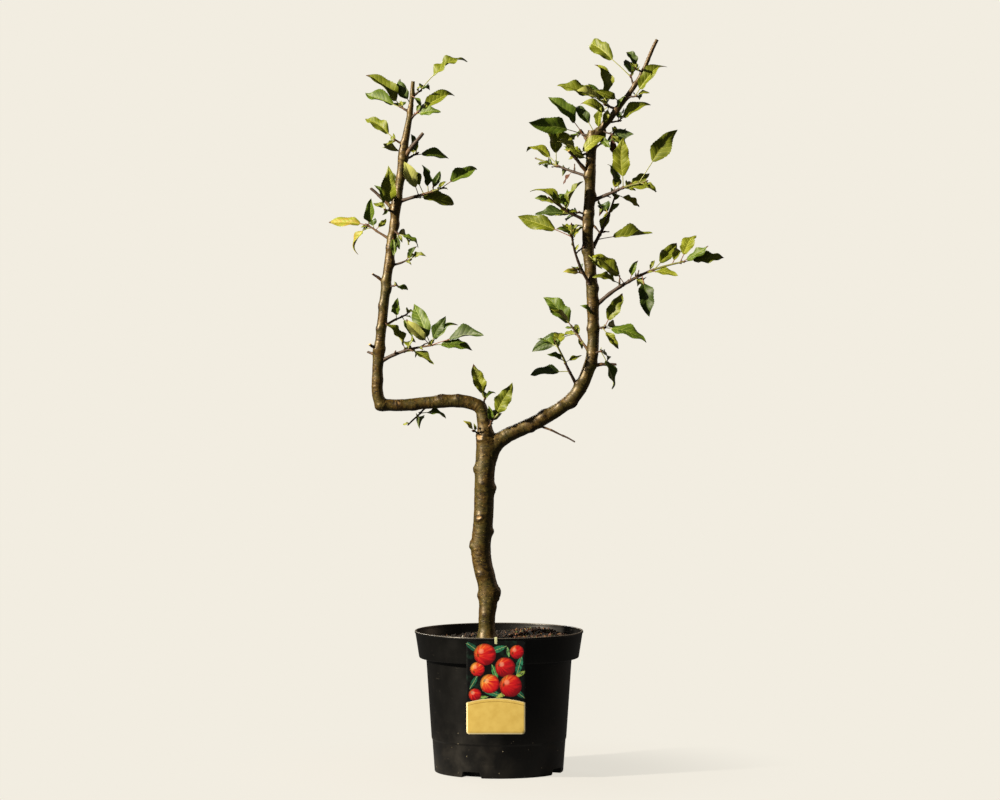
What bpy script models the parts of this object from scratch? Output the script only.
"""Potted two-armed espalier apple: a trunk, two trained arms, leafy shoots, a nursery pot and its label.

Metres, +Z up. The origin is the centre of the pot's flat underside, the arms spread along X,
and the label hangs on the -Y side, which is the front.
"""
import math
import random
from collections import namedtuple

import bmesh
import bpy
from mathutils import Matrix, Quaternion, Vector
from mathutils.bvhtree import BVHTree

# Clearances between neighbouring solids.
GAP = 0.0003
LEAF_CLEARANCE = 0.0006
MERGE_DISTANCE = 0.000002

# Pot of black polypropylene: outer radii from the foot up to the lip.
POT_HEIGHT = 0.2344
POT_RIM_RADIUS = 0.140
POT_FOOT_RADIUS = 0.1068
POT_NECK_RADIUS = 0.1209
POT_COLLAR_RADIUS = 0.1325
POT_COLLAR_Z = 0.190
POT_STEP_Z = 0.054
POT_STEP = 0.0009
POT_STEP_RISE = 0.002
POT_WALL = 0.002
POT_FLOOR = 0.003
POT_LIP_HEIGHT = 0.0035
POT_LIP_REACH = 0.0012
POT_LIP_WIDTH = 0.0032
POT_LIP_EDGE = 0.0008
POT_FOOT_BEVEL = 0.0022
POT_SIDES = 40

# Drainage: four arched alcoves in the bottom edge and four round holes in the floor.
ALCOVE_FIRST_ANGLE = -115.5
ALCOVE_FOOT_WIDTH = 0.037
ALCOVE_TOP_WIDTH = 0.030
ALCOVE_HEIGHT = 0.010
ALCOVE_BACK_RADIUS = 0.086
ALCOVE_COUNT = 4
DRAIN_RADIUS = 0.006
DRAIN_CIRCLE = 0.056
DRAIN_SIDES = 12
CUTTER_REACH = 0.010
CUTTER_DROP = 0.002

# Compost that fills the pot, and the flat spot that the trunk is cut on.
SOIL_Z = 0.2204
SOIL_FLAT_RADIUS = 0.030
SOIL_CROWN = 0.0035
SOIL_EDGE_DROP = 0.003
SOIL_SHOULDER_SHARE = 0.86
SOIL_CROWN_SHARE = 0.58
SOIL_DIP_RADIUS = 0.045
SOIL_DIP_SHARE = 0.5
SOIL_UNEVEN = 0.0014

# Hanging label: a stiff card with rounded corners and a strap hooked over the lip.
LABEL_WIDTH = 0.096
LABEL_HEIGHT = 0.153
LABEL_THICKNESS = 0.0008
LABEL_CORNER = 0.005
LABEL_CORNER_STEPS = 4
LABEL_CENTRE_X = -0.005
LABEL_TOP_Z = 0.2305
STRAP_WIDTH = 0.0045
STRAP_THICKNESS = 0.0009
STRAP_TAIL = 0.014
STRAP_INSET = 0.0068
STRAP_LEAN = 0.0006
STRAP_OVERLAP = 0.012
STRAP_PROUD = 0.0002

# Arms: each route runs from foot to tip as (x, y, z, radius).
LEFT_ROUTE = [
    (-0.0200, 0.000, 0.2207, 0.0150), (-0.0200, 0.000, 0.2550, 0.0146),
    (-0.0180, 0.003, 0.3010, 0.0158), (-0.0295, 0.004, 0.3600, 0.0162),
    (-0.0255, 0.001, 0.4250, 0.0163), (-0.0240, -0.002, 0.4840, 0.0164),
    (-0.0215, 0.000, 0.5410, 0.0160), (-0.0250, 0.001, 0.5800, 0.0112),
    (-0.0330, 0.002, 0.6055, 0.0108), (-0.0650, 0.003, 0.6150, 0.0108),
    (-0.1150, 0.004, 0.6125, 0.0101), (-0.1750, 0.002, 0.6080, 0.0097),
    (-0.1985, 0.000, 0.6180, 0.0096), (-0.2010, -0.003, 0.6650, 0.0088),
    (-0.1955, -0.006, 0.7250, 0.0081), (-0.1880, -0.004, 0.7960, 0.0078),
    (-0.1760, 0.000, 0.8900, 0.0075), (-0.1645, 0.004, 0.9750, 0.0070),
    (-0.1565, 0.006, 1.0380, 0.0066), (-0.1465, 0.004, 1.0950, 0.0043),
    (-0.1420, 0.002, 1.1440, 0.0031),
]
TRUNK_TOP_Z = 0.5410
LEFT_ELBOW_Z = 0.6120
RIGHT_ROUTE = [
    (-0.0190, 0.000, 0.5080, 0.0115), (-0.0070, 0.000, 0.5400, 0.0136),
    (0.0100, 0.000, 0.5560, 0.0126), (0.0410, -0.001, 0.5710, 0.0118),
    (0.0760, -0.003, 0.5880, 0.0113), (0.1100, -0.004, 0.6100, 0.0107),
    (0.1320, -0.004, 0.6330, 0.0112), (0.1480, -0.003, 0.6680, 0.0102),
    (0.1560, 0.000, 0.7100, 0.0096), (0.1540, 0.003, 0.8020, 0.0096),
    (0.1470, 0.005, 0.8800, 0.0090), (0.1500, 0.004, 0.9550, 0.0089),
    (0.1525, 0.002, 1.0200, 0.0080), (0.1540, 0.001, 1.0630, 0.0070),
]
RIGHT_ELBOW_Z = 0.6290
LEADER_ROUTE = [
    (0.1520, 0.001, 1.0400, 0.0052), (0.1680, 0.000, 1.0640, 0.0058),
    (0.1980, -0.002, 1.1010, 0.0048), (0.2320, -0.004, 1.1490, 0.0037),
    (0.2530, -0.005, 1.1960, 0.0031), (0.2610, -0.005, 1.2125, 0.0028),
]
ROOT_FLARE = 0.0034
ROOT_FLARE_HEIGHT = 0.020
ROOT_FLARE_RINGS = (0.0, 0.22, 0.5, 1.0)
TRUNK_SIDES = 13
BOUGH_SIDES = 10
LEADER_SIDES = 7
TRUNK_RING_STEP = 0.013
BOUGH_RING_STEP = 0.019
FINE_STEP = 0.002

# Healed knots on the trunk: height, side seen from above (0 right, 90 back), rise and spread.
TRUNK_KNOTS = [
    (0.503, 180, 0.0036, 0.012), (0.471, 0, 0.0036, 0.013), (0.424, -95, 0.0026, 0.013),
    (0.398, 0, 0.0034, 0.011), (0.3745, 180, 0.0040, 0.014), (0.330, -80, 0.0024, 0.012),
    (0.297, 5, 0.0056, 0.017), (0.292, 175, 0.0030, 0.013), (0.350, 80, 0.0030, 0.014),
    (0.445, 100, 0.0030, 0.013),
]

# Pruned stubs and bare twigs: limb, place on the limb, heading, turn to the front, length, radius.
STUBS = [
    ("left_upright", 1.0130, 52, 20, 0.052, 0.0034), ("left_upright", 0.9280, 137, -10, 0.050, 0.0027),
    ("left_upright", 0.8100, 145, 10, 0.020, 0.0022), ("left_upright", 0.6960, 140, 30, 0.014, 0.0026),
    ("left_upright", 0.6880, 158, -35, 0.015, 0.0024), ("right_upright", 0.9860, 131, 25, 0.052, 0.0029),
    ("right_upright", 1.0340, 122, -25, 0.030, 0.0027), ("right_upright", 0.6730, 3, 5, 0.034, 0.0026),
    ("right_upright", 0.9150, -48, 15, 0.020, 0.0017), ("right_bough", 0.110, -24, 12, 0.064, 0.0016),
    ("left_bough", 0.066, 80, -70, 0.012, 0.0014),
]
STUB_TAPER = 0.78
STUB_SIDES = 6
STUB_SINK = 0.004
STUB_FOOT = 1.25
STUB_LIFT = 0.03
STUB_SLANT = Vector((0.2, 0.0, 0.35))

# Leafy shoots: limb, place on it (its height, or the way along a lying bough), heading, turn to the front,
# reach, bow, foot radius, seed, and for each leaf its share along the shoot, its heading and its reach.
Shoot = namedtuple("Shoot", "name limb place heading turn reach bow radius seed leaves")
SHOOTS = [
    Shoot("foliage_left_01", "left_upright", 1.118, 35, 10, 0.010, 0.0, 0.0022, 11, [
        (1.00, 39, 0.098)]),
    Shoot("foliage_left_02", "left_upright", 1.093, 150, -10, 0.012, 0.0, 0.0023, 12, [
        (0.90, 137, 0.080), (0.60, 160, 0.070)]),
    Shoot("foliage_left_03", "left_upright", 1.080, 40, 25, 0.012, 0.0, 0.0023, 13, [
        (1.00, 30, 0.070), (0.50, 6, 0.042)]),
    Shoot("foliage_left_04", "left_upright", 1.039, 153, 15, 0.010, 0.0, 0.0022, 14, [
        (1.00, 146, 0.063)]),
    Shoot("foliage_left_05", "left_upright", 1.012, 30, -35, 0.020, 0.0, 0.0023, 15, [
        (0.95, 99, 0.032), (0.60, -3, 0.060)]),
    Shoot("foliage_left_06", "left_upright", 0.944, 17, 20, 0.070, 0.0, 0.0026, 16, [
        (0.42, 112, 0.062), (0.66, 98, 0.046), (0.76, 68, 0.036), (0.98, 32, 0.070),
        (0.36, -12, 0.068), (0.54, 122, 0.054)]),
    Shoot("foliage_left_07", "left_upright", 0.928, 170, 45, 0.011, 0.0, 0.0022, 17, [
        (1.00, 112, 0.046), (0.54, 88, 0.072)]),
    Shoot("foliage_left_08", "left_upright", 0.882, 148, -12, 0.038, 0.0, 0.0024, 18, [
        (1.00, 177, 0.068), (0.95, 86, 0.046), (0.98, -120, 0.054), (0.60, 46, 0.026)]),
    Shoot("foliage_left_09", "left_upright", 0.899, -40, 66, 0.009, 0.0, 0.0020, 19, [
        (0.95, -26, 0.042), (0.60, -82, 0.028)]),
    Shoot("foliage_left_10", "left_upright", 0.838, 18, 8, 0.027, 0.0, 0.0022, 20, [
        (1.00, 66, 0.026), (0.96, 20, 0.030)]),
    Shoot("foliage_left_11", "left_upright", 0.804, 10, 35, 0.009, 0.0, 0.0019, 21, [
        (0.80, -14, 0.026)]),
    Shoot("foliage_left_12", "left_upright", 0.738, 26, -18, 0.035, 0.0, 0.0023, 22, [
        (0.50, 88, 0.036), (0.78, -62, 0.037)]),
    Shoot("foliage_left_13", "left_upright", 0.682, 17, 18, 0.084, 0.05, 0.0028, 23, [
        (0.46, 123, 0.056), (0.57, -35, 0.046), (0.97, 134, 0.060), (0.99, 114, 0.071),
        (0.99, 48, 0.057), (0.99, -5, 0.069), (1.00, 12, 0.090), (1.00, 61, 0.054)]),
    Shoot("foliage_left_14", "left_bough", 0.148, -135, -30, 0.040, 0.0, 0.0018, 24, [
        (0.36, -4, 0.046)]),
    Shoot("foliage_left_15", "left_bough", 0.057, 80, -15, 0.009, 0.0, 0.0021, 25, [
        (0.90, 110, 0.060)]),
    Shoot("foliage_fork_01", "left_bough", 0.020, 62, 35, 0.011, 0.0, 0.0021, 26, [
        (0.95, 60, 0.070), (0.60, 95, 0.030)]),
    Shoot("foliage_fork_02", "left_bough", 0.018, 160, 40, 0.009, 0.0, 0.0019, 27, [
        (0.95, 131, 0.026)]),
    Shoot("foliage_right_01", "right_leader", 1.136, 110, -12, 0.010, 0.0, 0.0019, 31, [
        (1.00, 140, 0.098)]),
    Shoot("foliage_right_02", "right_leader", 1.158, 150, 40, 0.010, 0.0, 0.0018, 32, [
        (0.80, 118, 0.036)]),
    Shoot("foliage_right_03", "right_leader", 1.116, 10, 30, 0.010, 0.0, 0.0020, 33, [
        (0.90, 52, 0.074)]),
    Shoot("foliage_right_04", "right_leader", 1.097, 158, 18, 0.014, 0.0, 0.0023, 34, [
        (0.95, 101, 0.074), (0.50, 134, 0.052), (0.98, 157, 0.088), (0.80, 150, 0.058),
        (0.66, -106, 0.032)]),
    Shoot("foliage_right_05", "right_upright", 1.052, 165, -25, 0.014, 0.0, 0.0022, 35, [
        (0.60, 133, 0.084), (0.98, 171, 0.086)]),
    Shoot("foliage_right_06", "right_upright", 1.026, -162, 20, 0.016, 0.0, 0.0023, 36, [
        (0.96, 126, 0.055), (0.60, 149, 0.046), (0.90, 41, 0.056)]),
    Shoot("foliage_right_07", "right_upright", 1.030, 32, -25, 0.010, 0.0, 0.0019, 37, [
        (1.00, 18, 0.056)]),
    Shoot("foliage_right_08", "right_leader", 1.076, 8, -20, 0.014, 0.0, 0.0019, 38, [
        (0.90, 33, 0.060)]),
    Shoot("foliage_right_09", "right_leader", 1.063, -20, 28, 0.014, 0.0, 0.0017, 39, [
        (0.95, -82, 0.038)]),
    Shoot("foliage_right_10", "right_upright", 0.945, 20, 18, 0.089, 0.02, 0.0027, 40, [
        (0.48, 108, 0.048), (0.56, 90, 0.084), (0.60, 30, 0.048), (0.57, -2, 0.056),
        (0.86, 57, 0.108)]),
    Shoot("foliage_right_11", "right_upright", 0.853, 67, -14, 0.095, -0.03, 0.0026, 41, [
        (0.12, 6, 0.092), (0.24, 65, 0.040), (0.60, 44, 0.026), (0.98, -26, 0.046)]),
    Shoot("foliage_right_12", "right_upright", 0.925, 172, 30, 0.009, 0.0, 0.0019, 42, [
        (0.80, -176, 0.040)]),
    Shoot("foliage_right_13", "right_upright", 0.984, 160, -26, 0.086, 0.0, 0.0020, 43, [
        (0.55, 144, 0.066), (0.60, 97, 0.078), (0.27, -124, 0.026)]),
    Shoot("foliage_right_14", "right_upright", 0.911, 148, 16, 0.065, 0.04, 0.0024, 44, [
        (0.30, -178, 0.060), (0.46, 62, 0.056), (0.50, 144, 0.068), (0.96, 178, 0.026)]),
    Shoot("foliage_right_15", "right_upright", 0.792, 107, 22, 0.098, 0.07, 0.0023, 45, [
        (0.80, 160, 0.094), (0.84, 157, 0.028), (0.76, 50, 0.028)]),
    Shoot("foliage_right_16", "right_upright", 0.824, 165, -25, 0.009, 0.0, 0.0018, 46, [
        (0.80, 172, 0.028)]),
    Shoot("foliage_right_17", "right_upright", 0.773, 26, 10, 0.155, 0.07, 0.0029, 47, [
        (0.33, 134, 0.076), (0.30, 161, 0.050), (0.40, 72, 0.036), (0.54, -83, 0.070),
        (0.46, -45, 0.024), (0.62, -10, 0.048), (0.68, 45, 0.058), (0.96, 62, 0.058),
        (0.99, 30, 0.050), (1.00, 8, 0.069)]),
    Shoot("foliage_right_18", "right_upright", 0.738, 0, 28, 0.010, 0.0, 0.0022, 48, [
        (0.95, 61, 0.065), (0.95, -18, 0.073), (0.60, -52, 0.044)]),
    Shoot("foliage_right_19", "right_upright", 0.694, 20, 50, 0.009, 0.0, 0.0020, 49, [
        (0.90, -69, 0.068)]),
    Shoot("foliage_right_20", "right_upright", 0.690, 124, -18, 0.043, 0.0, 0.0023, 50, [
        (0.69, -159, 0.080), (0.80, 129, 0.078), (0.98, 138, 0.046), (0.58, -70, 0.022)]),
    Shoot("foliage_right_21", "right_upright", 0.634, 116, 20, 0.076, 0.0, 0.0022, 51, [
        (0.28, -174, 0.066), (0.52, 157, 0.032), (0.50, 22, 0.028)]),
]
LYING_LIMBS = ("left_bough", "right_bough")
REAR_LEAVES = 2
REAR_REACH = (0.040, 0.070)
REAR_TURN = (48, 78)
REAR_SHARE = (0.35, 0.95)
REAR_SPREAD = (-70, 70)
FLATTEST_TURN = 0.5
SHOOT_TIP_RADIUS = 0.0013
SHOOT_SIDES = 5
SHOOT_RING_STEP = 0.018
SHOOT_SEARCH = 0.060
SHOOT_LAST_LEAF = 0.985
SIDE_TWIGS = 3
SIDE_TWIG_LEAST_REACH = 0.050
SIDE_TWIG_REACH = (0.009, 0.018)
SIDE_TWIG_SPREAD = (42, 68)
SIDE_TWIG_SPACING = 0.25
SIDE_TWIG_SHIFT = (-0.05, 0.05)
SIDE_TWIG_TAPER = (0.8, 0.7)

# Space that the foliage keeps to.
CROWN_LOW = Vector((-0.290, -0.128, 0.540))
CROWN_HIGH = Vector((0.376, 0.128, 1.2160))

# Leaf: an ovate blade on a thin stalk, folded up along its midrib.
LEAF_WIDTH_SHARE = 0.52
LEAF_LONGEST_BLADE = 0.066
LEAF_STALK_SHARE = (0.16, 0.30)
LEAF_THICKNESS = 0.0012
LEAF_EDGE_RADIUS = 0.0004
LEAF_STALK_RADIUS = 0.0009
LEAF_STATIONS = (0.0, 0.16, 0.42, 0.72, 1.0)
LEAF_FOLD = (14, 34)
LEAF_ARCH = (0.02, 0.11)
LEAF_TWIST = (-30, 30)
LEAF_FACES = ((-0.25, 0.25), (-1.0, -0.4), (0.3, 0.9))
LEAF_FOLD_START = 5
LEAF_TURN = (-34, 34)
LEAF_TRIES = 14

SCENE = bpy.context.scene


def clear_scene():
    """Remove every object so that the model starts from nothing."""
    for old in list(bpy.data.objects):
        bpy.data.objects.remove(old, do_unlink=True)


def plain_material(name, colour, roughness, metallic=0.0):
    """Principled material with one base colour."""
    material = bpy.data.materials.new(name)
    material.use_nodes = True
    shader = material.node_tree.nodes["Principled BSDF"]
    shader.inputs["Base Color"].default_value = (*colour, 1.0)
    shader.inputs["Roughness"].default_value = roughness
    shader.inputs["Metallic"].default_value = metallic
    return material


def make_object(name, verts, faces, material=None, crease=40):
    """Object from vertices and faces, shaded smooth up to the crease angle."""
    mesh = bpy.data.meshes.new(name)
    mesh.from_pydata([tuple(v) for v in verts], [], faces)
    mesh.update()
    finish_mesh(mesh, crease)
    item = bpy.data.objects.new(name, mesh)
    SCENE.collection.objects.link(item)
    if material:
        mesh.materials.append(material)
    return item


def finish_mesh(mesh, crease):
    """Point the faces outward and shade them."""
    work = bmesh.new()
    work.from_mesh(mesh)
    bmesh.ops.recalc_face_normals(work, faces=work.faces)
    work.to_mesh(mesh)
    work.free()
    mesh.shade_smooth()
    mesh.set_sharp_from_angle(angle=math.radians(crease))


def is_one_body(mesh):
    """True where the mesh is closed and all its faces hang together."""
    work = bmesh.new()
    work.from_mesh(mesh)
    closed = all(len(edge.link_faces) == 2 for edge in work.edges)
    seen = set()
    queue = [work.verts[:][0]] if work.verts[:] else []
    while queue:
        vert = queue.pop()
        if vert in seen:
            continue
        seen.add(vert)
        queue.extend(edge.other_vert(vert) for edge in vert.link_edges)
    whole = len(seen) == len(work.verts) > 0
    work.free()
    return closed and whole


def apply_boolean(target, others, operation, solver):
    """Mesh of one Boolean of the target with a collection of the others."""
    group = bpy.data.collections.new(target.name + "_operands")
    SCENE.collection.children.link(group)
    for other in others:
        group.objects.link(other)
    change = target.modifiers.new(operation.lower(), "BOOLEAN")
    change.operation = operation
    change.operand_type = "COLLECTION"
    change.collection = group
    change.solver = solver
    view = bpy.context.evaluated_depsgraph_get()
    result = bpy.data.meshes.new_from_object(target.evaluated_get(view), depsgraph=view)
    target.modifiers.remove(change)
    bpy.data.collections.remove(group)
    work = bmesh.new()
    work.from_mesh(result)
    bmesh.ops.remove_doubles(work, verts=work.verts, dist=MERGE_DISTANCE)
    bmesh.ops.dissolve_degenerate(work, edges=work.edges, dist=MERGE_DISTANCE)
    bmesh.ops.recalc_face_normals(work, faces=work.faces)
    work.to_mesh(result)
    work.free()
    return result


def reach_of(mesh):
    """Length of the diagonal of a mesh's box."""
    spots = [vert.co for vert in mesh.vertices]
    return sum((max(s[k] for s in spots) - min(s[k] for s in spots)) ** 2 for k in range(3)) ** 0.5


def combine(target, others, operation="UNION", crease=40):
    """Union or difference with others; where neither solver gives one body, the last of them is dropped."""
    materials = list(target.data.materials)
    least = reach_of(target.data) * (0.999 if operation == "UNION" else 0.4)
    used = list(others)
    result = None
    while used and result is None:
        for solver in ("EXACT", "MANIFOLD"):
            trial = apply_boolean(target, used, operation, solver)
            if is_one_body(trial) and reach_of(trial) > least:
                result = trial
                break
        else:
            print(target.name, "leaves out", used.pop().name)
    for other in others:
        bpy.data.objects.remove(other, do_unlink=True)
    if result:
        target.data = result
        result.materials.clear()
        for material in materials:
            result.materials.append(material)
        result.shade_smooth()
        result.set_sharp_from_angle(angle=math.radians(crease))
    return target


def curve_point(stations, place):
    """Point on a Catmull-Rom curve through stations of any width; place counts stations."""
    last = len(stations) - 1
    index = min(int(place), last - 1)
    t = place - index
    picks = [stations[min(max(index + k, 0), last)] for k in (-1, 0, 1, 2)]
    values = []
    for a, b, c, d in zip(*picks):
        values.append(0.5 * (2 * b + (c - a) * t + (2 * a - 5 * b + 4 * c - d) * t * t
                             + (3 * b - a - 3 * c + d) * t ** 3))
    return values


def sample_route(stations, step, fine=24):
    """Evenly spaced (point, radius) pairs along the curve through the stations."""
    count = (len(stations) - 1) * fine
    dense = [curve_point(stations, k / fine) for k in range(count + 1)]
    spots = [Vector(values[:3]) for values in dense]
    travelled = [0.0]
    for a, b in zip(spots, spots[1:]):
        travelled.append(travelled[-1] + (b - a).length)
    pieces = max(2, round(travelled[-1] / step))
    samples = []
    index = 0
    for k in range(pieces + 1):
        goal = travelled[-1] * k / pieces
        while index < count - 1 and travelled[index + 1] < goal:
            index += 1
        span = travelled[index + 1] - travelled[index]
        share = (goal - travelled[index]) / span if span else 0.0
        radius = dense[index][3] + (dense[index + 1][3] - dense[index][3]) * share
        samples.append((spots[index].lerp(spots[index + 1], share), radius))
    return samples


def split_route(stations, split, fine=24):
    """Cut a route in two where its height last passes the split height."""
    for k in reversed(range((len(stations) - 1) * fine)):
        here = curve_point(stations, k / fine)
        after = curve_point(stations, (k + 1) / fine)
        if here[2] <= split < after[2]:
            break
    share = (split - here[2]) / (after[2] - here[2])
    cut = [a + (b - a) * share for a, b in zip(here, after)]
    heading = (Vector(after[:3]) - Vector(here[:3])).normalized()
    index = int(k / fine)
    first = [list(station) for station in stations[:index + 1]] + [cut]
    second = [cut] + [list(station) for station in stations[index + 1:]]
    return first, second, heading


def frames_along(points, start_side=Vector((1, 0, 0)), ends=(None, None)):
    """Tangent, side and upper vector for each point, carried along without twist."""
    tangents = []
    for k in range(len(points)):
        ahead = points[min(k + 1, len(points) - 1)] - points[max(k - 1, 0)]
        tangents.append(ahead.normalized())
    if ends[0]:
        tangents[0] = ends[0].normalized()
    if ends[1]:
        tangents[-1] = ends[1].normalized()
    side = start_side - tangents[0] * start_side.dot(tangents[0])
    if side.length < 0.2:
        side = Vector((0, 1, 0)) - tangents[0] * tangents[0].y
    side.normalize()
    frames = []
    for tangent in tangents:
        side = (side - tangent * side.dot(tangent)).normalized()
        frames.append((tangent, side, tangent.cross(side)))
    return frames


def tube_shape(points, radii, sides, ends=(None, None), bumps=(), start_side=Vector((1, 0, 0))):
    """Vertices and faces of a closed tube with flat ends and local bumps (spot, rise, spread)."""
    frames = frames_along(points, start_side, ends)
    verts = []
    for point, radius, (_, side, upper) in zip(points, radii, frames):
        for k in range(sides):
            angle = math.tau * k / sides
            outward = side * math.cos(angle) + upper * math.sin(angle)
            spot = point + outward * radius
            for centre, rise, spread in bumps:
                away = (spot - centre).length
                if away < 2.5 * spread:
                    spot = spot + outward * rise * math.exp(-(away / spread) ** 2 * 1.6)
            verts.append(spot)
    return verts, ring_faces(len(points), sides)


def ring_faces(rings, sides):
    """Quads between neighbouring rings and one face over each end."""
    faces = []
    for ring in range(rings - 1):
        for k in range(sides):
            a = ring * sides + k
            b = ring * sides + (k + 1) % sides
            faces.append((a, b, b + sides, a + sides))
    faces.append(tuple(reversed(range(sides))))
    faces.append(tuple(range((rings - 1) * sides, rings * sides)))
    return faces


def limb_bumps(samples, knots):
    """Knots given by height and side, as spots on the surface of the limb."""
    bumps = []
    for height, side, rise, spread in knots:
        point, radius = min(samples, key=lambda sample: abs(sample[0].z - height))
        outward = Vector((math.cos(math.radians(side)), math.sin(math.radians(side)), 0))
        spot = Vector((point.x, point.y, height)) + outward * radius
        bumps.append((spot, rise, spread))
    return bumps


class Limb:
    """One tapering limb: its centreline samples, its end cuts and its surface."""

    def __init__(self, name, stations, sides, step, ends=(None, None), trims=(0.0, 0.0), knots=(), flare=0.0):
        self.name = name
        self.sides = sides
        self.ends = ends
        self.samples = sample_route(stations, step)
        self.fine = sample_route(stations, FINE_STEP)
        first, radius = self.samples[0]
        if trims[0]:
            self.samples[0] = (first + ends[0] * trims[0], radius)
        last, radius = self.samples[-1]
        if trims[1]:
            self.samples[-1] = (last - ends[1] * trims[1], radius)
        if flare:
            self.samples = self.flared(flare)
        self.bumps = limb_bumps(self.fine, knots)

    def flared(self, flare):
        """Samples with extra rings at the foot, where the limb widens to the ground."""
        foot, radius = self.samples[0]
        above = [sample for sample in self.samples[1:] if sample[0].z > foot.z + ROOT_FLARE_HEIGHT]
        rings = []
        for share in ROOT_FLARE_RINGS:
            height = foot.z + ROOT_FLARE_HEIGHT * share
            point, _ = min(self.fine, key=lambda sample: abs(sample[0].z - height))
            rings.append((Vector((point.x, point.y, height)), radius + flare * (1 - share) ** 2))
        return rings + above

    def shape(self, grow=0.0):
        """Vertices and faces, with the surface moved out by grow."""
        points = [point.copy() for point, _ in self.samples]
        radii = [radius + grow for _, radius in self.samples]
        return tube_shape(points, radii, self.sides, self.ends, self.bumps)

    def tree(self, grow=0.0):
        """Search tree over the surface."""
        verts, faces = self.shape(grow)
        return BVHTree.FromPolygons(verts, faces)

    def place(self, value):
        """Centreline point and radius at a height, or at a way along a lying limb."""
        if self.name in LYING_LIMBS:
            return self.fine[min(round(value / FINE_STEP), len(self.fine) - 1)]
        return min(self.fine, key=lambda sample: abs(sample[0].z - value))


def face_direction(heading, turn):
    """Unit vector by its heading in the front view and its turn towards the front."""
    flat = math.cos(math.radians(turn))
    return Vector((flat * math.cos(math.radians(heading)), -math.sin(math.radians(turn)),
                   flat * math.sin(math.radians(heading))))


def make_limbs():
    """Trunk, boughs, uprights and leader, each ending 0.3 mm clear of the next."""
    trunk_route, left_arm, fork_heading = split_route(LEFT_ROUTE, TRUNK_TOP_Z)
    bough_route, upright_route, elbow_heading = split_route(left_arm, LEFT_ELBOW_Z)
    up = Vector((0, 0, 1))
    half = GAP / 2
    limbs = [
        Limb("trunk", trunk_route, TRUNK_SIDES, TRUNK_RING_STEP, (up, up), (0.0, half),
             TRUNK_KNOTS, ROOT_FLARE),
        Limb("left_bough", bough_route, BOUGH_SIDES, BOUGH_RING_STEP, (up, elbow_heading), (half, half)),
        Limb("left_upright", upright_route, BOUGH_SIDES, BOUGH_RING_STEP, (elbow_heading, None), (half, 0.0)),
    ]
    right_low, right_high, right_heading = split_route(RIGHT_ROUTE, RIGHT_ELBOW_Z)
    limbs += [
        Limb("right_bough", right_low, BOUGH_SIDES, BOUGH_RING_STEP, (None, right_heading), (0.0, half)),
        Limb("right_upright", right_high, BOUGH_SIDES, BOUGH_RING_STEP, (right_heading, up), (half, 0.0)),
        Limb("right_leader", LEADER_ROUTE, LEADER_SIDES, BOUGH_RING_STEP),
    ]
    return {limb.name: limb for limb in limbs}


def stub_shape(limb, place, heading, turn, length, radius):
    """Short pruned stub whose root is sunk in its limb and whose end is a slanted cut."""
    centre, limb_radius = limb.place(place)
    outward = face_direction(heading, turn)
    start = centre + outward * max(limb_radius - STUB_SINK, 0.0)
    end = centre + outward * (limb_radius + length)
    middle = start.lerp(end, 0.5) + Vector((0, 0, length * STUB_LIFT))
    radii = [radius * STUB_FOOT, radius, radius * STUB_TAPER]
    slant = (outward + STUB_SLANT).normalized()
    return tube_shape([start, middle, end], radii, STUB_SIDES, (outward, slant))


def build_limbs(limbs, bark):
    """Solids of the limbs with their stubs, and the cuts where one limb leaves another."""
    made = {}
    for name, limb in limbs.items():
        made[name] = make_object(name, *limb.shape(), bark)
    cuts = {"right_bough": ("trunk", "left_bough"), "right_leader": ("right_upright",)}
    for name, neighbours in cuts.items():
        cutters = [make_object(other + "_clear", *limbs[other].shape(GAP)) for other in neighbours]
        combine(made[name], cutters, "DIFFERENCE")
    for name, item in made.items():
        stubs = []
        for row in STUBS:
            if row[0] == name:
                stubs.append(make_object(name + "_stub", *stub_shape(limbs[name], *row[1:])))
        if stubs:
            combine(item, stubs)
    return made


def leaf_width(share):
    """Half width of an ovate, pointed blade at a share of its length, as a share of the widest."""
    rise = math.sin(math.pi * min(share, 1.0) ** 0.80)
    return max(rise, 0.0) ** 0.85 * (1.0 - 0.18 * share)


def leaf_faces(rings):
    """Triangles of a leaf, cut alike on its upper and lower side so that the blade keeps its thickness."""
    faces = []
    for ring in range(rings - 1):
        for edge in (4 * ring, 4 * ring + 2):
            for ridge in (4 * ring + 1, 4 * ring + 3):
                faces += [(edge, ridge, ridge + 4), (edge, ridge + 4, edge + 4)]
    last = 4 * (rings - 1)
    return faces + [(3, 2, 1, 0), (last, last + 1, last + 2, last + 3)]


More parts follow.
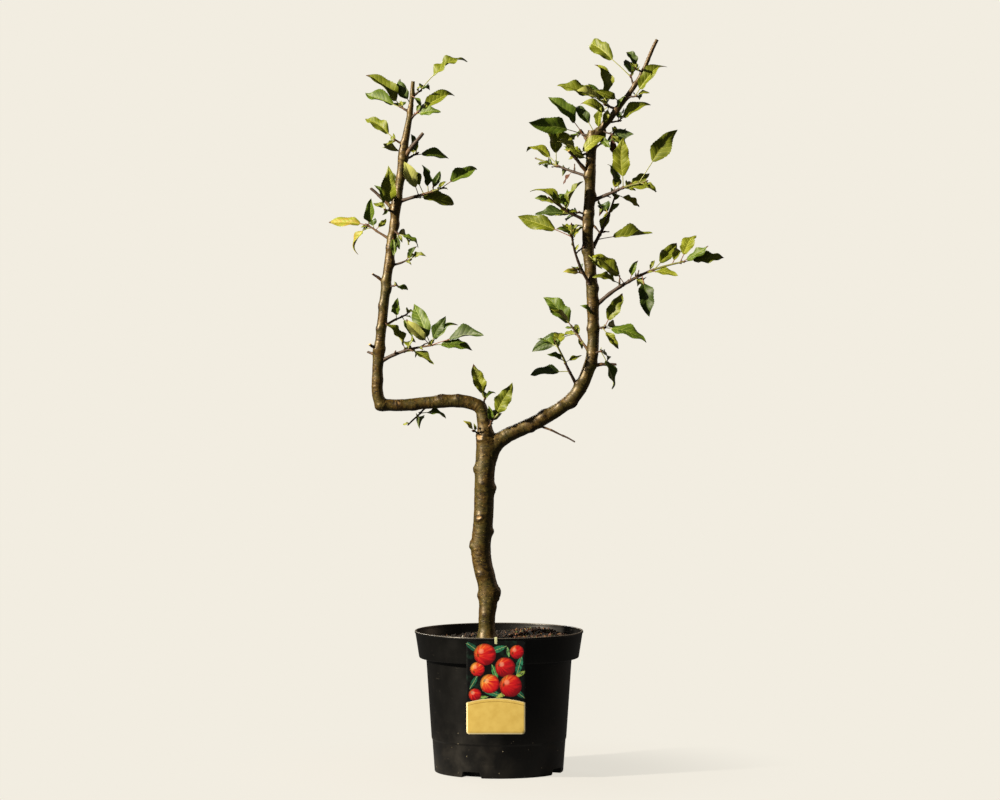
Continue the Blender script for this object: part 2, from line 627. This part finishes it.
def leaf_shape(root, chord, facing, numbers, grow=0.0):
    """Closed leaf: a stalk from the root, then a folded blade arching over the chord to the tip.

    The numbers are the leaf's own stalk share, fold, arch and twist.
    """
    stalk, fold, arch, twist = numbers
    reach = chord.length
    stalk = max(stalk, 1 - LEAF_LONGEST_BLADE / reach)
    ahead = chord.normalized()
    upper = (facing - ahead * facing.dot(ahead)).normalized()
    blade = reach * (1 - stalk)
    widest = blade * LEAF_WIDTH_SHARE / 2
    shares = [0.0] + [stalk + (1 - stalk) * s for s in LEAF_STATIONS]
    points = [root + chord * s + upper * (4 * arch * reach * s * (1 - s)) for s in shares]
    verts = []
    for k, (share, point) in enumerate(zip(shares, points)):
        tangent = (points[min(k + 1, len(points) - 1)] - points[max(k - 1, 0)]).normalized()
        across = tangent.cross(upper).normalized()
        along = max(0.0, (share - stalk) / (1 - stalk))
        across = Quaternion(tangent, math.radians(twist) * along) @ across
        lift = across.cross(tangent).normalized()
        half = max(LEAF_STALK_RADIUS, widest * leaf_width(along)) if 0 < along < 1 else LEAF_STALK_RADIUS
        half = LEAF_EDGE_RADIUS if along >= 1 else half
        thick = LEAF_THICKNESS / 2 if along < 1 else LEAF_EDGE_RADIUS
        thick = LEAF_STALK_RADIUS if along == 0 else thick
        tilt = math.radians(fold) * min(1.0, along * LEAF_FOLD_START)
        edge = lift * (half * math.sin(tilt))
        half = half * math.cos(tilt) + grow
        verts += [point + across * half + edge, point + lift * (thick + grow),
                  point - across * half + edge, point - lift * (thick + grow)]
    return verts, leaf_faces(len(points))


def bounds_ok(verts):
    """True where every vertex lies in the space that the crown keeps to."""
    return all(low <= value <= high for vert in verts
               for low, value, high in zip(CROWN_LOW, vert, CROWN_HIGH))


def touches(shape, trees):
    """True where the shape crosses any of the surfaces."""
    own = BVHTree.FromPolygons([tuple(v) for v in shape[0]], shape[1])
    return any(own.overlap(tree) for tree in trees)


def shoot_line(shoot, limb, limb_tree):
    """Centreline of a shoot: it starts 0.3 mm off its limb's surface and bows towards its tip."""
    centre, _ = limb.place(shoot.place)
    outward = face_direction(shoot.heading, shoot.turn)
    helper = Vector((0, 0, 1)) if abs(outward.z) < 0.9 else Vector((1, 0, 0))
    side = outward.cross(helper).normalized()
    upper = outward.cross(side)
    start = 0.0
    for k in range(9):
        angle = math.tau * k / 8
        offset = (side * math.cos(angle) + upper * math.sin(angle)) * (shoot.radius if k < 8 else 0.0)
        origin = centre + offset + outward * SHOOT_SEARCH
        hit, _, _, distance = limb_tree.ray_cast(origin, -outward, SHOOT_SEARCH)
        if hit:
            start = max(start, SHOOT_SEARCH - distance)
    foot = centre + outward * (start + GAP)
    length = shoot.reach / max(math.cos(math.radians(shoot.turn)), FLATTEST_TURN)
    rings = max(2, round(length / SHOOT_RING_STEP) + 1)
    swing = Vector((-math.sin(math.radians(shoot.heading)), 0, math.cos(math.radians(shoot.heading))))
    points = []
    for k in range(rings):
        share = k / (rings - 1)
        bow = swing * (4 * shoot.bow * length * share * (1 - share)) if k else Vector()
        points.append(foot + outward * length * share + bow)
    radii = [shoot.radius + (SHOOT_TIP_RADIUS - shoot.radius) * k / (rings - 1) for k in range(rings)]
    return points, radii, outward


def along_line(points, radii, share):
    """Point, direction and radius at a share of a line of points."""
    place = min(max(share, 0.0), 1.0) * (len(points) - 1)
    index = min(int(place), len(points) - 2)
    part = place - index
    point = points[index].lerp(points[index + 1], part)
    radius = radii[index] + (radii[index + 1] - radii[index]) * part
    return point, (points[index + 1] - points[index]).normalized(), radius


def leaf_numbers(rng):
    """Stalk share, fold, arch and twist of one leaf."""
    return (rng.uniform(*LEAF_STALK_SHARE), rng.uniform(*LEAF_FOLD),
            rng.uniform(*LEAF_ARCH), rng.uniform(*LEAF_TWIST))


def leaf_facing(rng):
    """Direction that a blade's upper side looks to: up and forward, with some scatter."""
    return Vector([rng.uniform(*span) for span in LEAF_FACES]).normalized()


def grow_leaf(root, heading, reach, turns, rng, blocked, blades):
    """First version of a leaf that stays in the crown and clear of its neighbours, or nothing."""
    for turn in turns:
        numbers = leaf_numbers(rng)
        facing = leaf_facing(rng)
        chord = face_direction(heading, turn) * (reach / max(math.cos(math.radians(turn)), FLATTEST_TURN))
        wide = leaf_shape(root, chord, facing, numbers, LEAF_CLEARANCE)
        blade = (wide[0][4:], leaf_faces(len(LEAF_STATIONS)))
        if bounds_ok(wide[0]) and not touches(wide, blocked) and not touches(blade, blades):
            return leaf_shape(root, chord, facing, numbers), blade
    return None


def leaf_wishes(shoot, rng):
    """The shoot's own leaves and, by its seed, the leaves that stand to the rear."""
    wishes = []
    for share, heading, reach in shoot.leaves:
        turns = [rng.uniform(*LEAF_TURN) for _ in range(LEAF_TRIES)]
        wishes.append((share, heading, reach, turns))
    rear = REAR_LEAVES if len(shoot.leaves) > 2 else 1
    for _ in range(rear):
        turns = [-rng.uniform(*REAR_TURN) for _ in range(LEAF_TRIES)]
        reach = rng.uniform(*REAR_REACH) * FLATTEST_TURN
        wishes.append((rng.uniform(*REAR_SHARE), shoot.heading + rng.uniform(*REAR_SPREAD), reach, turns))
    return wishes


def plan_stems(limbs):
    """Stem of every shoot, worked out before any leaf so that no leaf crosses another's stem."""
    stems = {}
    for shoot in SHOOTS:
        points, radii, outward = shoot_line(shoot, limbs[shoot.limb], limbs[shoot.limb].tree())
        shape = tube_shape(points, radii, SHOOT_SIDES, (outward, None))
        wide = tube_shape(points, [radius + LEAF_CLEARANCE for radius in radii], SHOOT_SIDES, (outward, None))
        tree = BVHTree.FromPolygons([tuple(v) for v in wide[0]], wide[1])
        for name, limb in limbs.items():
            if touches(shape, [limb.tree()]):
                print(shoot.name, "its stem touches", name)
        for name, (_, _, _, other) in stems.items():
            if touches(shape, [other]):
                print(shoot.name, "its stem touches", name)
        stems[shoot.name] = (points, radii, shape, tree)
    return stems


def side_twig(points, radii, place, rng):
    """Short side twig that leans away from the stem."""
    root, along, radius = along_line(points, radii, place)
    away = Quaternion(along, rng.uniform(0, math.tau)) @ along.orthogonal().normalized()
    lean = math.radians(rng.uniform(*SIDE_TWIG_SPREAD))
    heading = along * math.cos(lean) + away * math.sin(lean)
    length = rng.uniform(*SIDE_TWIG_REACH)
    first, last = SIDE_TWIG_TAPER
    ends = [root, root + heading * length * 0.6, root + heading * length]
    return tube_shape(ends, [radius * first, radius * last, SHOOT_TIP_RADIUS * last], SHOOT_SIDES)


def build_mass(shoot, stems, blocked, material):
    """One shoot with its side twigs and leaves, fused into a single solid."""
    rng = random.Random(shoot.seed)
    points, radii, shape, _ = stems[shoot.name]
    stem = make_object(shoot.name, *shape, material)
    extras = []
    blades = []
    for share, heading, reach, turns in leaf_wishes(shoot, rng):
        root, _, _ = along_line(points, radii, min(share, SHOOT_LAST_LEAF))
        grown = grow_leaf(root, heading, reach, turns, rng, blocked, blades)
        if grown:
            leaf, blade = grown
            extras.append(make_object(shoot.name + "_leaf", *leaf))
            blades.append(BVHTree.FromPolygons([tuple(v) for v in blade[0]], blade[1]))
    if shoot.reach > SIDE_TWIG_LEAST_REACH:
        for k in range(SIDE_TWIGS):
            place = SIDE_TWIG_SPACING * (k + 1) + rng.uniform(*SIDE_TWIG_SHIFT)
            twig = side_twig(points, radii, place, rng)
            if bounds_ok(twig[0]) and not touches(twig, blocked + blades):
                extras.append(make_object(shoot.name + "_twig", *twig))
    combine(stem, extras)
    print(shoot.name, "leaves", len(blades), "of", len(leaf_wishes(shoot, random.Random(0))),
          "triangles", sum(len(p.vertices) - 2 for p in stem.data.polygons))
    return stem


def turned_shape(profile, sides):
    """Vertices and faces of a profile of (radius, z) turned about Z, with its ends on the axis."""
    rings = profile[1:-1]
    verts = [Vector((0, 0, profile[0][1]))]
    for radius, z in rings:
        for k in range(sides):
            angle = math.tau * k / sides
            verts.append(Vector((radius * math.cos(angle), radius * math.sin(angle), z)))
    verts.append(Vector((0, 0, profile[-1][1])))
    faces = []
    last = len(verts) - 1
    for k in range(sides):
        after = (k + 1) % sides
        faces.append((0, 1 + k, 1 + after))
        faces.append((last, last - sides + after, last - sides + k))
        for ring in range(len(rings) - 1):
            a = 1 + ring * sides
            faces.append((a + k, a + sides + k, a + sides + after, a + after))
    return verts, faces


def pot_outer(z):
    """Outer radius of the pot's body below its collar."""
    slope = (POT_NECK_RADIUS - POT_FOOT_RADIUS) / POT_COLLAR_Z
    return POT_FOOT_RADIUS + slope * z + (POT_STEP if z > POT_STEP_Z else 0.0)


def pot_profile():
    """Section of the pot: outside from the underside's centre up to the lip, then inside down."""
    lip = POT_HEIGHT - POT_LIP_HEIGHT
    collar = POT_RIM_RADIUS - POT_LIP_REACH
    ledge = POT_COLLAR_Z + POT_WALL
    neck = POT_NECK_RADIUS - POT_WALL
    stepped = POT_STEP_Z + POT_STEP_RISE
    return [
        (0, 0), (POT_FOOT_RADIUS - POT_FOOT_BEVEL, 0), (pot_outer(POT_FOOT_BEVEL), POT_FOOT_BEVEL),
        (pot_outer(POT_STEP_Z), POT_STEP_Z), (pot_outer(stepped), stepped),
        (POT_NECK_RADIUS, POT_COLLAR_Z), (POT_COLLAR_RADIUS, POT_COLLAR_Z), (collar, lip),
        (POT_RIM_RADIUS, lip + POT_LIP_EDGE), (POT_RIM_RADIUS, POT_HEIGHT - POT_LIP_EDGE),
        (POT_RIM_RADIUS - POT_LIP_EDGE, POT_HEIGHT), (POT_RIM_RADIUS - POT_LIP_WIDTH, POT_HEIGHT),
        (collar - POT_WALL, lip), (POT_COLLAR_RADIUS - POT_WALL, ledge), (neck, ledge),
        (POT_FOOT_RADIUS - POT_WALL, POT_FLOOR), (0, POT_FLOOR),
    ]


def alcove_block(name, angle, widen, back_radius, front_radius, low, high):
    """Wedge across the bottom edge at an angle, narrower at its top."""
    slope = (ALCOVE_FOOT_WIDTH - ALCOVE_TOP_WIDTH) / 2 / ALCOVE_HEIGHT
    foot = ALCOVE_FOOT_WIDTH / 2 - slope * low + widen
    top = ALCOVE_FOOT_WIDTH / 2 - slope * high + widen
    corners = [(-foot, low), (foot, low), (top, high), (-top, high)]
    verts = [Vector((radius, y, z)) for radius in (back_radius, front_radius) for y, z in corners]
    faces = [(0, 1, 2, 3), (7, 6, 5, 4), (0, 4, 5, 1), (1, 5, 6, 2), (2, 6, 7, 3), (3, 7, 4, 0)]
    turn = Matrix.Rotation(math.radians(angle), 4, "Z")
    return make_object(name, [turn @ v for v in verts], faces)


def drain_cutter(angle):
    """Round cutter through the floor."""
    centre = Vector((DRAIN_CIRCLE * math.cos(angle), DRAIN_CIRCLE * math.sin(angle), 0))
    low = centre - Vector((0, 0, CUTTER_DROP))
    high = centre + Vector((0, 0, POT_FLOOR + CUTTER_DROP))
    return make_object("drain_cutter", *tube_shape([low, high], [DRAIN_RADIUS] * 2, DRAIN_SIDES))


def build_pot(plastic):
    """Thin-walled pot with a collar, a lip, four drainage alcoves and four floor holes."""
    pot = make_object("pot", *turned_shape(pot_profile(), POT_SIDES), plastic)
    angles = [ALCOVE_FIRST_ANGLE + 360 * k / ALCOVE_COUNT for k in range(ALCOVE_COUNT)]
    inner = POT_FOOT_RADIUS - POT_WALL / 2
    bumps = [alcove_block("alcove_wall", angle, POT_WALL, ALCOVE_BACK_RADIUS - POT_WALL, inner,
                          POT_FLOOR / 2, ALCOVE_HEIGHT + POT_WALL) for angle in angles]
    combine(pot, bumps)
    cutters = [alcove_block("alcove_cutter", angle, 0.0, ALCOVE_BACK_RADIUS, POT_FOOT_RADIUS + CUTTER_REACH,
                            -CUTTER_DROP, ALCOVE_HEIGHT) for angle in angles]
    cutters += [drain_cutter(math.radians(angle + 180 / ALCOVE_COUNT)) for angle in angles]
    combine(pot, cutters, "DIFFERENCE")
    return pot


def build_soil(compost):
    """Compost that fills the pot, flat round the trunk, slightly crowned and sunk at its edge."""
    ledge = POT_COLLAR_Z + POT_WALL + GAP
    neck = POT_NECK_RADIUS - POT_WALL - GAP
    lip = POT_HEIGHT - POT_LIP_HEIGHT
    collar_slope = (POT_RIM_RADIUS - POT_LIP_REACH - POT_COLLAR_RADIUS) / (lip - POT_COLLAR_Z)
    edge = SOIL_Z - SOIL_EDGE_DROP
    edge_radius = POT_COLLAR_RADIUS - POT_WALL + collar_slope * (edge - ledge) - GAP
    profile = [
        (0, POT_FLOOR + GAP), (POT_FOOT_RADIUS - POT_WALL - GAP, POT_FLOOR + GAP), (neck, ledge),
        (POT_COLLAR_RADIUS - POT_WALL - GAP, ledge), (edge_radius, edge),
        (edge_radius * SOIL_SHOULDER_SHARE, SOIL_Z), (edge_radius * SOIL_CROWN_SHARE, SOIL_Z + SOIL_CROWN),
        (SOIL_DIP_RADIUS, SOIL_Z + SOIL_CROWN * SOIL_DIP_SHARE), (SOIL_FLAT_RADIUS, SOIL_Z), (0, SOIL_Z),
    ]
    verts, faces = turned_shape(profile, POT_SIDES)
    rng = random.Random(5)
    for vert in verts:
        if vert.z > SOIL_Z + GAP:
            vert.z += rng.uniform(-SOIL_UNEVEN, SOIL_UNEVEN)
    trunk_x = LEFT_ROUTE[0][0]
    soil = make_object("soil", verts, faces, compost)
    for vert in soil.data.vertices:
        if vert.co.z > SOIL_Z - GAP and vert.co.xy.length < SOIL_DIP_RADIUS + GAP:
            vert.co.x += trunk_x
    angles = [ALCOVE_FIRST_ANGLE + 360 * k / ALCOVE_COUNT for k in range(ALCOVE_COUNT)]
    cutters = [alcove_block("alcove_clear", angle, POT_WALL + GAP, ALCOVE_BACK_RADIUS - POT_WALL - GAP,
                            POT_FOOT_RADIUS + CUTTER_REACH, -CUTTER_DROP, ALCOVE_HEIGHT + POT_WALL + GAP)
               for angle in angles]
    combine(soil, cutters, "DIFFERENCE")
    return soil


def build_label(card):
    """Card plate with rounded corners, and the strap that hooks over the lip."""
    back = -(POT_RIM_RADIUS + GAP)
    front = back - LABEL_THICKNESS
    half = LABEL_WIDTH / 2 - LABEL_CORNER
    outline = []
    for k, (sx, sz) in enumerate(((1, 1), (-1, 1), (-1, -1), (1, -1))):
        centre_z = LABEL_TOP_Z - LABEL_HEIGHT / 2 + sz * (LABEL_HEIGHT / 2 - LABEL_CORNER)
        for step in range(LABEL_CORNER_STEPS + 1):
            angle = math.radians(90 * k + 90 * step / LABEL_CORNER_STEPS)
            outline.append((LABEL_CENTRE_X + sx * half + LABEL_CORNER * math.cos(angle),
                            centre_z + LABEL_CORNER * math.sin(angle)))
    count = len(outline)
    verts = [Vector((x, front, z)) for x, z in outline] + [Vector((x, back, z)) for x, z in outline]
    faces = [(k, (k + 1) % count, count + (k + 1) % count, count + k) for k in range(count)]
    faces += [tuple(range(count)), tuple(reversed(range(count, 2 * count)))]
    plate = make_object("label", verts, faces, card, 30)
    inside = -(POT_RIM_RADIUS - STRAP_INSET)
    over = POT_HEIGHT + GAP
    low = LABEL_TOP_Z - STRAP_OVERLAP
    leaned = inside + STRAP_LEAN
    section = [(front - STRAP_PROUD, low), (front - STRAP_PROUD, over + STRAP_THICKNESS),
               (inside, over + STRAP_THICKNESS), (leaned, over - STRAP_TAIL),
               (leaned - STRAP_THICKNESS, over - STRAP_TAIL), (inside - STRAP_THICKNESS, over),
               (back - STRAP_PROUD, over), (back - STRAP_PROUD, low)]
    left = LABEL_CENTRE_X - STRAP_WIDTH / 2
    right = LABEL_CENTRE_X + STRAP_WIDTH / 2
    verts = [Vector((left, y, z)) for y, z in section] + [Vector((right, y, z)) for y, z in section]
    count = len(section)
    faces = [(k, (k + 1) % count, count + (k + 1) % count, count + k) for k in range(count)]
    faces += [tuple(range(count)), tuple(reversed(range(count, 2 * count)))]
    strap = make_object("label_strap", verts, faces)
    combine(plate, [strap], crease=30)
    return plate


def main():
    """Build every sub-part."""
    clear_scene()
    bark = plain_material("apple_bark", (0.13, 0.10, 0.055), 0.75)
    leaf_green = plain_material("leaf_green", (0.14, 0.24, 0.045), 0.5)
    build_pot(plain_material("black_polypropylene", (0.012, 0.012, 0.013), 0.38))
    build_soil(plain_material("potting_compost", (0.035, 0.022, 0.014), 0.95))
    build_label(plain_material("printed_card", (0.62, 0.46, 0.16), 0.45))
    limbs = make_limbs()
    made = build_limbs(limbs, bark)
    limb_trees = [limb.tree(LEAF_CLEARANCE) for limb in limbs.values()]
    view = bpy.context.evaluated_depsgraph_get()
    stub_trees = [BVHTree.FromObject(item, view) for item in made.values()]
    stems = plan_stems(limbs)
    masses = []
    for shoot in SHOOTS:
        others = [stem[3] for name, stem in stems.items() if name != shoot.name]
        mass = build_mass(shoot, stems, limb_trees + stub_trees + others + masses, leaf_green)
        masses.append(BVHTree.FromObject(mass, bpy.context.evaluated_depsgraph_get()))


main()
